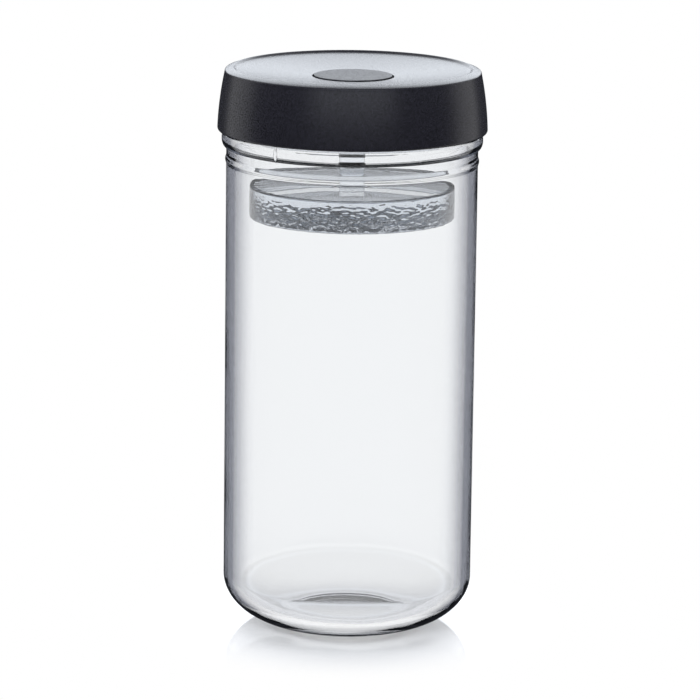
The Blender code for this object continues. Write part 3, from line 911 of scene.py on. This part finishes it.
@dataclass
class LidCover:
    """The outer cover: a leaning grained side, a raised rim and a dished top with the button's hole."""

    top_radius: float = 57.0
    lean: float = 3.6
    bulge: float = 0.7
    wall: float = 1.6
    foot_rounding: float = 1.2
    crown_rounding: float = 0.9
    crown_end: float = 76.0
    crown_fall: float = 1.0
    crown_width: float = 2.7
    slope: float = 1.8
    dish: float = 2.9
    dish_straight: float = 0.7
    dish_curved: float = 0.3
    top_thickness: float = 1.8
    under_radius: float = 34.0
    under_share: float = 0.42
    collar_wall: float = 1.5
    collar_level: float = 0.8
    lip_height: float = 1.0
    lip_reach: float = 0.4
    lip_gap: float = 0.3
    wall_drop: float = 1.3
    arc_steps: int = 10
    side_steps: int = 24
    slope_steps: int = 16
    dish_steps: int = 19
    wall_steps: int = 12

    def side(self, height: float) -> float:
        """Returns the side's radius at a height."""
        share = (height - LEVELS.lid_edge) / (LEVELS.lid_top - LEVELS.lid_edge)
        return self.top_radius + self.lean * (1.0 - share) + self.bulge * 4.0 * share * (1.0 - share)

    def dish_height(self, radius: float, dish_radius: float) -> float:
        """Returns the height of the dished top at a radius.

        Args:
            radius: Distance from the axis.
            dish_radius: Where the dish starts.

        Returns:
            The height.
        """
        share = (radius - LEVELS.collar) / (dish_radius - LEVELS.collar)
        rise = self.dish_straight * share + self.dish_curved * share * share
        return LEVELS.dish_middle + self.dish * rise

    def section(self) -> list[Point]:
        """Returns the closed half section."""
        edge, top, collar = LEVELS.lid_edge, LEVELS.lid_top, LEVELS.collar
        side_foot = edge + self.foot_rounding
        side_top = top - self.crown_fall - self.crown_rounding
        crown_outer = self.side(side_top) - self.crown_rounding
        crown_inner = crown_outer - self.crown_width
        dish_radius = crown_inner - self.slope
        dish_foot = collar + self.collar_level
        lip_inner = LEVELS.insert_outer - self.lip_reach
        lip_top = edge + self.lip_height
        drop = top - LEVELS.dish_middle - self.dish

        points = arc(
            (self.side(side_foot) - self.foot_rounding, side_foot), self.foot_rounding, self.foot_rounding,
            -90, 0, self.arc_steps,
        )
        for step in range(1, self.side_steps):
            height = side_foot + (side_top - side_foot) * step / self.side_steps
            points.append((self.side(height), height))
        points += arc(
            (crown_outer, side_top), self.crown_rounding, self.crown_rounding, 0, self.crown_end,
            self.arc_steps,
        )
        for step in range(self.slope_steps + 1):
            share = step / self.slope_steps
            points.append((crown_inner - self.slope * step / self.slope_steps, top - drop * eased(share)))
        for step in range(1, self.dish_steps + 1):
            radius = dish_radius + (dish_foot - dish_radius) * step / self.dish_steps
            points.append((radius, self.dish_height(radius, dish_radius)))
        points += rounded([
            (*points[-1], 0.0), (collar, LEVELS.dish_middle, 0.3), (collar, LEVELS.collar_foot, 0.2),
            (collar + self.collar_wall, LEVELS.collar_foot, 0.2),
            (collar + self.collar_wall, LEVELS.top_under, 0.2),
            (self.under_radius, LEVELS.top_under + self.under_share * self.dish, 0.0),
            (dish_radius, LEVELS.top_under + self.dish, 1.0), (crown_inner, top - self.top_thickness, 1.0),
            (crown_outer - self.wall / 2, top - self.crown_fall - self.top_thickness, 0.6),
            (self.side(side_top) - self.wall, side_top - self.top_thickness, 0.0),
        ])[1:]
        wall_top = LEVELS.plate_top - self.wall_drop
        for step in range(self.wall_steps + 1):
            height = wall_top + (lip_top + self.lip_gap - wall_top) * step / self.wall_steps
            points.append((self.side(height) - self.wall, height))
        points += rounded([
            (*points[-1], 0.0), (self.side(lip_top) - self.wall, lip_top, 0.2), (lip_inner, lip_top, 0.25),
            (lip_inner, edge, 0.25), (*points[0], 0.0),
        ])[1:]
        return points

    def build(self) -> None:
        """Builds the cover."""
        cover = turn("lid_cover", self.section())
        finish_piece(cover, COVER_PLASTIC.make(), CadBody.LID, "lid_shell")


@dataclass
class ScrewInsert:
    """The inner screw cap with its lugs, gasket collar, valve well, vent holes and holder hub."""

    edge_lean: float = 1.3
    locator_outer: float = 48.3
    locator_inner: float = 46.8
    locator_drop: float = 2.5
    well: float = 20.05
    well_wall: float = 1.6
    centre_hole: float = 4.4
    guide_outer: float = 8.3
    guide_inner: float = 7.6
    guide_lip: float = 9.1
    guide_lip_foot: float = 244.6
    guide_top: float = 245.4
    hub_inner: float = 15.0
    hub_outer: float = 16.6
    hub_lip: float = 14.0
    hub_lip_top: float = 237.8
    hub_foot: float = 236.3
    foot: float = 228.0
    vent_ring: float = 12.05
    vent_radius: float = 1.5
    vent_depth: float = 4.0
    vents: int = 6
    lugs: int = 4
    lug_start: float = 23.0
    lug_span: float = 24.0
    lug_sunk: float = 0.7
    lug_reach: float = 1.5
    lug_width: float = 2.4
    lug_facet: float = 1.5
    lug_fade: float = 6.0

    def section(self) -> list[Point]:
        """Returns the closed half section."""
        plate, top, floor, under = LEVELS.plate_foot, LEVELS.plate_top, LEVELS.well_floor, LEVELS.well_foot
        inner, outer = LEVELS.insert_inner, LEVELS.insert_outer
        locator_foot, well_outer = plate - self.locator_drop, self.well + self.well_wall
        return rounded([
            (self.centre_hole, under, 0.3), (self.hub_inner, under, 0.3),
            (self.hub_inner, self.hub_lip_top, 0.2), (self.hub_lip, self.hub_lip_top, 0.3),
            (self.hub_lip, self.hub_foot, 0.5), (self.hub_outer, self.hub_foot, 0.5),
            (self.hub_outer, under, 0.6), (well_outer, under, 0.8), (well_outer, plate, 0.8),
            (self.locator_inner, plate, 0.6), (self.locator_inner, locator_foot, 0.5),
            (self.locator_outer, locator_foot, 0.5), (self.locator_outer, plate, 0.1),
            (inner, plate, 0.1), (inner, self.foot, 0.4), (outer, self.foot, 0.4),
            (outer, top - self.edge_lean, 0.6), (outer - self.edge_lean, top, 0.6),
            (self.well, top, 0.8), (self.well, floor, 0.5), (self.guide_outer, floor, 0.0),
            (self.guide_outer, self.guide_lip_foot, 0.1), (self.guide_lip, self.guide_lip_foot, 0.1),
            (self.guide_lip, self.guide_top, 0.25), (self.guide_inner, self.guide_top, 0.25),
            (self.guide_inner, floor, 0.2), (self.centre_hole, floor, 0.3),
        ], closed=True)

    def build(self) -> None:
        """Builds the insert."""
        insert = turn("screw_insert", self.section())
        half_pitch = LEVELS.thread_lead / 8
        lug = HelixRidge(
            root=LEVELS.insert_inner + self.lug_sunk, crest=LEVELS.insert_inner - self.lug_reach,
            root_width=self.lug_width,
            height=LEVELS.thread_start + LEVELS.thread_lead * self.lug_start / 360.0 - half_pitch,
            span=self.lug_span, facet=self.lug_facet, fade=self.lug_fade,
        )
        combine(insert, repeat_round(lug.build("thread_lug"), self.lugs, self.lug_start), "UNION")
        middle = (LEVELS.well_floor + LEVELS.well_foot) / 2 * MM
        vent = add_primitive(
            bpy.ops.mesh.primitive_cylinder_add, "vent_hole", vertices=32, radius=self.vent_radius * MM,
            depth=self.vent_depth * MM, location=(self.vent_ring * MM, 0.0, middle),
        )
        combine(insert, repeat_round(vent, self.vents), "DIFFERENCE")
        finish_piece(insert, INSERT_PLASTIC.make(), CadBody.LID, "lid_insert")


@dataclass
class RimGasket:
    """The flat silicone ring between the rim and the insert."""

    inner: float = 48.6
    outer: float = 54.7
    thickness: float = 1.6
    rounding: float = 0.5

    def build(self) -> None:
        """Builds the gasket."""
        foot, top = LEVELS.gasket_foot, LEVELS.gasket_foot + self.thickness
        corners = ((self.inner, foot), (self.outer, foot), (self.outer, top), (self.inner, top))
        section = rounded([(*corner, self.rounding) for corner in corners], closed=True)
        gasket = turn("rim_gasket", section)
        finish_piece(gasket, GASKET_SILICONE.make(), CadBody.LID, "lid_gasket")


@dataclass
class VentButton:
    """The round button in the dished top, with its guide skirt, catch lip and post."""

    thickness: float = 1.8
    skirt: float = 1.45
    rounding: float = 0.3
    lip_reach: float = 1.55
    lip_height: float = 1.0
    post: float = 2.4
    post_foot: float = 240.4
    dip_depth: float = 0.12
    dip_radius: int = 15

    def build(self) -> None:
        """Builds the button."""
        top = LEVELS.button_top
        under = top - self.thickness
        lip_top = LEVELS.collar_foot - LEVELS.fit
        lip_foot = lip_top - self.lip_height
        outer, inner = LEVELS.button, LEVELS.button - self.skirt
        lip = outer + self.lip_reach
        dip = [
            (radius, top - self.dip_depth * eased(1.0 - radius / self.dip_radius), 0.0)
            for radius in range(self.dip_radius, -1, -1)
        ]
        section = rounded([
            (0.0, self.post_foot, 0.0), (self.post, self.post_foot, 0.6), (self.post, under, 0.6),
            (inner, under, 0.6), (inner, lip_foot, 0.2), (lip, lip_foot, 0.25), (lip, lip_top, 0.25),
            (outer, lip_top, 0.2), (outer, top, self.rounding), *dip,
        ])
        button = turn("vent_button", section)
        finish_piece(button, BUTTON_PLASTIC.make(), CadBody.BUTTON, "valve_button")


@dataclass
class PostPlug:
    """The silicone plug on the button's post, which seals the well from below."""

    inner: float = 2.7
    outer: float = 3.9
    flange: float = 8.0
    flange_thickness: float = 1.6
    sleeve: float = 5.7
    floor: float = 1.2

    def build(self) -> None:
        """Builds the plug."""
        foot = LEVELS.plug_foot
        flange_top = foot + self.flange_thickness
        sleeve_top = flange_top + self.sleeve
        floor = foot + self.floor
        section = rounded([
            (0.0, foot, 0.0), (self.flange, foot, 0.5), (self.flange, flange_top, 0.5),
            (self.outer, flange_top, 0.3), (self.outer, sleeve_top, 0.3), (self.inner, sleeve_top, 0.3),
            (self.inner, floor, 0.2), (0.0, floor, 0.0),
        ])
        plug = turn("post_plug", section, SMALL_TURN)
        finish_piece(plug, PLUG_SILICONE.make(), CadBody.BUTTON, "valve_plug")


@dataclass
class VentFlap:
    """The silicone ring that lies over the vent holes and lifts when gas pushes."""

    inner: float = 8.6
    outer: float = 15.5
    thickness: float = 0.8
    rim_width: float = 1.5
    rim_drop: float = 0.3

    def build(self) -> None:
        """Builds the flap, thinner towards its rim."""
        foot = LEVELS.well_floor + LEVELS.fit
        top = foot + self.thickness
        section = rounded([
            (self.inner, foot, 0.15), (self.outer, foot, 0.15), (self.outer, top - self.rim_drop, 0.15),
            (self.outer - self.rim_width, top, 0.6), (self.inner, top, 0.15),
        ], closed=True)
        flap = turn("vent_flap", section, SMALL_TURN)
        finish_piece(flap, FLAP_SILICONE.make(), CadBody.FLAP, "valve_flap")


@dataclass
class ReturnSpring:
    """The coil spring that pushes the button back up."""

    radius: float = 6.0
    wire: float = 0.8
    turns: int = 4
    low: float = 243.3
    high: float = 249.2
    travel: float = 1.6
    wire_facets: int = 12
    turn_facets: int = 40

    def build(self) -> None:
        """Builds the spring."""
        spring = add_primitive(
            bpy.ops.mesh.primitive_circle_add, "return_spring", vertices=self.wire_facets,
            radius=self.wire / 2 * MM, location=(self.radius * MM, 0.0, self.low * MM),
            rotation=(math.pi / 2, 0.0, 0.0),
        )
        apply_modifier(
            spring, "SCREW", angle=math.tau, steps=self.turn_facets, render_steps=self.turn_facets,
            iterations=self.turns, screw_offset=(self.high - self.low) / self.turns * MM,
            use_smooth_shade=True,
        )
        with edit_mode():
            bpy.ops.mesh.fill_holes(sides=0)
            bpy.ops.mesh.normals_make_consistent(inside=False)
        finish_piece(spring, SPRING_STEEL.make(), CadBody.LID, "button_spring")
        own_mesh(spring)


@dataclass
class StemSocket:
    """The black holder that swivels under the lid and grips the weight's spigot."""

    flange: float = 14.7
    flange_inner: float = 11.2
    flange_thickness: float = 1.4
    bore: float = 3.9
    tube: float = 5.9
    cone_foot: float = 225.7
    cone_wall: float = 1.6
    windows: int = 3
    window_first: float = 60.0
    window_width: float = 7.0
    window_edge: float = 2.5
    window_rounding: float = 1.5

    def build(self) -> None:
        """Builds the holder with its windows."""
        foot, cone_top = LEVELS.holder_foot, LEVELS.flange_foot
        top = cone_top + self.flange_thickness
        section = rounded([
            (self.flange_inner, top, 0.3), (self.flange_inner, cone_top, 0.5),
            (self.bore, self.cone_foot - LEVELS.fit, 0.8), (self.bore, foot, 0.4), (self.tube, foot, 0.5),
            (self.tube, self.cone_foot, 1.5), (self.flange_inner + self.cone_wall, cone_top, 0.5),
            (self.flange, cone_top, 0.3), (self.flange, top, 0.3),
        ], closed=True)
        socket = turn("stem_socket", section, SMALL_TURN)
        low, high = self.cone_foot + self.window_edge, cone_top - self.window_edge
        middle = ((self.bore / 2 + self.flange) / 2 * MM, 0.0, (low + high) / 2 * MM)
        window = add_primitive(
            bpy.ops.mesh.primitive_cube_add, "window",
            (self.flange - self.bore / 2, self.window_width, high - low), size=MM, location=middle,
        )
        with edit_mode():
            bpy.ops.mesh.bevel(offset=self.window_rounding * MM, segments=5, affect="EDGES")
        combine(socket, repeat_round(window, self.windows, self.window_first), "DIFFERENCE")
        finish_piece(socket, SOCKET_PLASTIC.make(), CadBody.HOLDER, "stem_holder")


@dataclass(frozen=True)
class Backdrop:
    """The colours round the jar that glass and gloss show.

    A rise goes from 0, straight down, to 1, straight up, and a bearing from 0, behind the jar, to 1,
    behind the camera.
    """

    # Over the rise, through glass: white, with a dark band and a bright one above the horizon.
    through: Stops = (
        (0.0, "#ffffff"), (0.545, "#ffffff"), (0.56, "#1a1c22"), (0.62, "#181a20"),
        (0.645, "#a4acb6"), (0.675, "#e4e9f0"), (0.71, "#6a7078"), (0.76, "#1e2026"),
    )
    # Over the rise, in gloss: a dark floor and a bright ceiling.
    sky: Stops = (
        (0.0, "#2e3035"), (0.49, "#2e3035"), (0.53, "#8e9098"), (0.59, "#f4f8ff"),
        (0.90, "#f0f5fc"), (0.98, "#7c7f87"),
    )
    # Over the bearing, in gloss: the walls above the horizon and below it.
    wall: Stops = (
        (0.0, "#ffffff"), (0.18, "#ffffff"), (0.26, "#787878"), (0.44, "#68686c"),
        (0.56, "#5a5a5e"), (0.66, "#505054"), (0.74, "#646469"), (0.86, "#ffffff"),
    )
    low_wall: Stops = (
        (0.0, "#ffffff"), (0.46, "#ffffff"), (0.54, "#d0d0d0"), (0.62, "#b4b4b4"),
        (0.70, "#c4c4c8"), (0.80, "#e6e8f0"), (0.93, "#ffffff"),
    )
    wall_from: float = 0.44
    wall_full: float = 0.50
    # Over the bearing, in gloss: a tall light strip at each side.
    strips: Stops = ((0.24, "#000000"), (0.275, "#ffffff"), (0.40, "#ffffff"), (0.51, "#000000"))
    strip_strength: float = 0.65
    ambient: str = "#f2f4f8"
    ambient_strength: float = 0.55


@dataclass
class Studio:
    """The white studio: world, floor, soft boxes and camera."""

    distance: float = 1800.0
    height: float = 521.5
    pitch: float = 12.40
    roll: float = 0.74
    aside: float = 0.15
    focal_px: float = 4065.0
    picture_px: float = 700.0
    sensor: float = 36.0
    mirror_full: float = 54.0
    mirror_end: float = 100.0
    mirror_share: float = 0.3
    front_near: float = -600.0
    front_far: float = -200.0
    front_glow: float = 0.1

    def camera(self) -> None:
        """Sets the camera where the photograph's stood."""
        data = bpy.data.cameras.new("photo_camera")
        data.sensor_width = self.sensor
        data.lens = self.focal_px / self.picture_px * self.sensor
        data.clip_start, data.clip_end = 0.05, 50.0
        camera = bpy.data.objects.new("photo_camera", data)
        camera.location = (self.aside * MM, -self.distance * MM, self.height * MM)
        camera.rotation_mode = "ZYX"
        camera.rotation_euler = (math.radians(90.0 - self.pitch), 0.0, math.radians(self.roll))
        bpy.context.scene.collection.objects.link(camera)
        bpy.context.scene.camera = camera

    def world(self) -> None:
        """Makes a world that is white for the camera, a backdrop for glass and gloss, and a soft light."""
        world = bpy.data.worlds.new("white_studio")
        node, place = nodes_for(world, "Generated")
        around = Backdrop()
        rays = node("LightPath").outputs
        split = node("SeparateXYZ", links={"Vector": place}).outputs
        rise = node("MapRange", {"From Min": -1.0, "From Max": 1.0}, {"Value": split["Z"]})
        aside = node("Math", links={0: split["X"]}, operation="ABSOLUTE")
        turned = node("Math", links={0: aside, 1: split["Y"]}, operation="ARCTAN2")
        bearing = node("MapRange", {"From Max": math.pi}, {"Value": turned})
        through, sky, wall, low_wall, strips = (
            node("ValToRGB", links={"Fac": along}, stops=stops, smooth=True)
            for along, stops in (
                (rise, around.through), (rise, around.sky), (bearing, around.wall),
                (bearing, around.low_wall), (bearing, around.strips),
            )
        )
        above = node(
            "MapRange", {"From Min": around.wall_from, "From Max": around.wall_full}, {"Value": rise},
        )
        walls = node("Mix", links={0: above, 6: low_wall, 7: wall}, data_type="RGBA")
        lit_wall = node(
            "Mix", {0: 1.0}, {6: sky, 7: walls.outputs[2]}, data_type="RGBA", blend_type="MULTIPLY",
        )
        ambient, glow, side_glow, clear, white = (
            node("Background", values, links)
            for values, links in (
                ({"Color": linear(around.ambient), "Strength": around.ambient_strength}, {}),
                ({}, {"Color": lit_wall.outputs[2]}),
                ({"Strength": around.strip_strength}, {"Color": strips}), ({}, {"Color": through}),
                ({"Color": WHITE}, {}),
            )
        )
        shine = node("AddShader", links={0: glow, 1: side_glow})
        light = ambient
        for ray, answer in (
            ("Is Glossy Ray", shine), ("Is Transmission Ray", clear), ("Is Camera Ray", white),
        ):
            light = node("MixShader", links={0: rays[ray], 1: light, 2: answer})
        node("OutputWorld", links={"Surface": light})
        bpy.context.scene.world = world

    def floor(self) -> None:
        """Lays a white floor that mirrors the jar's foot faintly and keeps its shadow.

        Away from the foot it glows white. In front of the jar the glass sees it darker than the camera does,
        and from below it is clear.
        """
        floor = add_primitive(
            bpy.ops.mesh.primitive_circle_add, "studio_floor", vertices=128, radius=12.0, fill_type="NGON"
        )
        material = bpy.data.materials.new("white_acrylic_floor")
        node, place = nodes_for(material)
        rays = node("LightPath").outputs
        away = node("VectorMath", links={0: place}, operation="LENGTH")
        near = node(
            "MapRange",
            {
                "From Min": self.mirror_full * MM, "From Max": self.mirror_end * MM,
                "To Min": 1.0, "To Max": 0.0,
            },
            {"Value": away.outputs["Value"]}, interpolation_type="SMOOTHSTEP",
        )
        paint = node("BsdfDiffuse", {"Color": linear("#f0f0f0")})
        lift = node("Emission", {"Color": WHITE, "Strength": 0.3})
        lit = node("AddShader", links={0: paint, 1: lift})
        polish = node("BsdfAnisotropic", {"Roughness": 0.06})
        gloss = node("MixShader", {0: self.mirror_share}, {1: lit, 2: polish})
        split = node("SeparateXYZ", links={"Vector": place})
        before = node(
            "MapRange",
            {
                "From Min": self.front_near * MM, "From Max": self.front_far * MM,
                "To Min": self.front_glow, "To Max": 1.0,
            },
            {"Value": split.outputs["Y"]},
        )
        bright = node("Math", links={0: before, 1: rays["Is Camera Ray"]}, operation="MAXIMUM")
        glow = node("Emission", {"Color": WHITE}, {"Strength": bright})
        seen = node("MixShader", links={0: near, 1: glow, 2: gloss})
        bounce = node("MixShader", links={0: rays["Is Diffuse Ray"], 1: seen, 2: paint})
        side = node("NewGeometry").outputs["Backfacing"]
        unseen = node("Math", links={0: side, 1: rays["Is Glossy Ray"]}, operation="MAXIMUM")
        open_below = node("BsdfTransparent")
        one_way = node("MixShader", links={0: unseen, 1: bounce, 2: open_below})
        node("OutputMaterial", links={"Surface": one_way})
        floor.data.materials.append(material)

    def soft_box(
        self, name: str, place: Vector, size: Point, power: float, color: str, in_gloss: bool = False
    ) -> None:
        """Hangs a rectangular soft box that faces the jar.

        Args:
            name: The lamp's name.
            place: Where it hangs, in metres.
            size: Its width and height in metres.
            power: Its power in watts.
            color: Its sRGB hex colour.
            in_gloss: True if it shows in glossy surfaces.
        """
        data = bpy.data.lights.new(name, "AREA")
        data.shape = "RECTANGLE"
        data.size, data.size_y = size
        data.energy = power
        data.color = linear(color)[:3]
        lamp = bpy.data.objects.new(name, data)
        lamp.location = place
        lamp.rotation_mode = "QUATERNION"
        lamp.rotation_quaternion = (Vector((0.0, 0.0, 0.15)) - place).to_track_quat("-Z", "Y")
        lamp.visible_glossy = in_gloss
        lamp.visible_camera = lamp.visible_transmission = False
        bpy.context.scene.collection.objects.link(lamp)

    def lamps(self) -> None:
        """Hangs the soft boxes: one in front, one at each side, one above and a wide one behind."""
        for name, angle, reach, rise, size, power in (
            ("front_box", -8.0, 1.7, 1.25, (0.8, 0.6), 14.0),
            ("left_box", -75.0, 1.6, 1.0, (0.9, 0.9), 12.0), ("right_box", 80.0, 1.6, 1.0, (0.9, 0.9), 10.0),
        ):
            spot = math.radians(angle)
            place = Vector((reach * math.sin(spot), -reach * math.cos(spot), rise))
            self.soft_box(name, place, size, power, "#f3f8ff")
        self.soft_box("top_box", Vector((0.0, 0.5, 1.6)), (1.6, 1.2), 18.0, "#f8faff")
        self.soft_box("back_box", Vector((0.0, 2.2, 1.1)), (3.2, 1.3), 24.0, "#f2f8ff", in_gloss=True)

    def build(self) -> None:
        """Builds the studio."""
        bpy.context.scene.view_settings.view_transform = "Standard"
        self.world()
        self.floor()
        self.lamps()
        self.camera()


def main() -> None:
    """Builds the studio and then the jar's pieces, from the glass inwards."""
    Studio().build()
    for part in (
        GlassJar(), HangingWeight(), StemSocket(), LidCover(), ScrewInsert(), RimGasket(), VentButton(),
        ReturnSpring(), PostPlug(), VentFlap(),
    ):
        part.build()


if __name__ == "__main__":
    main()
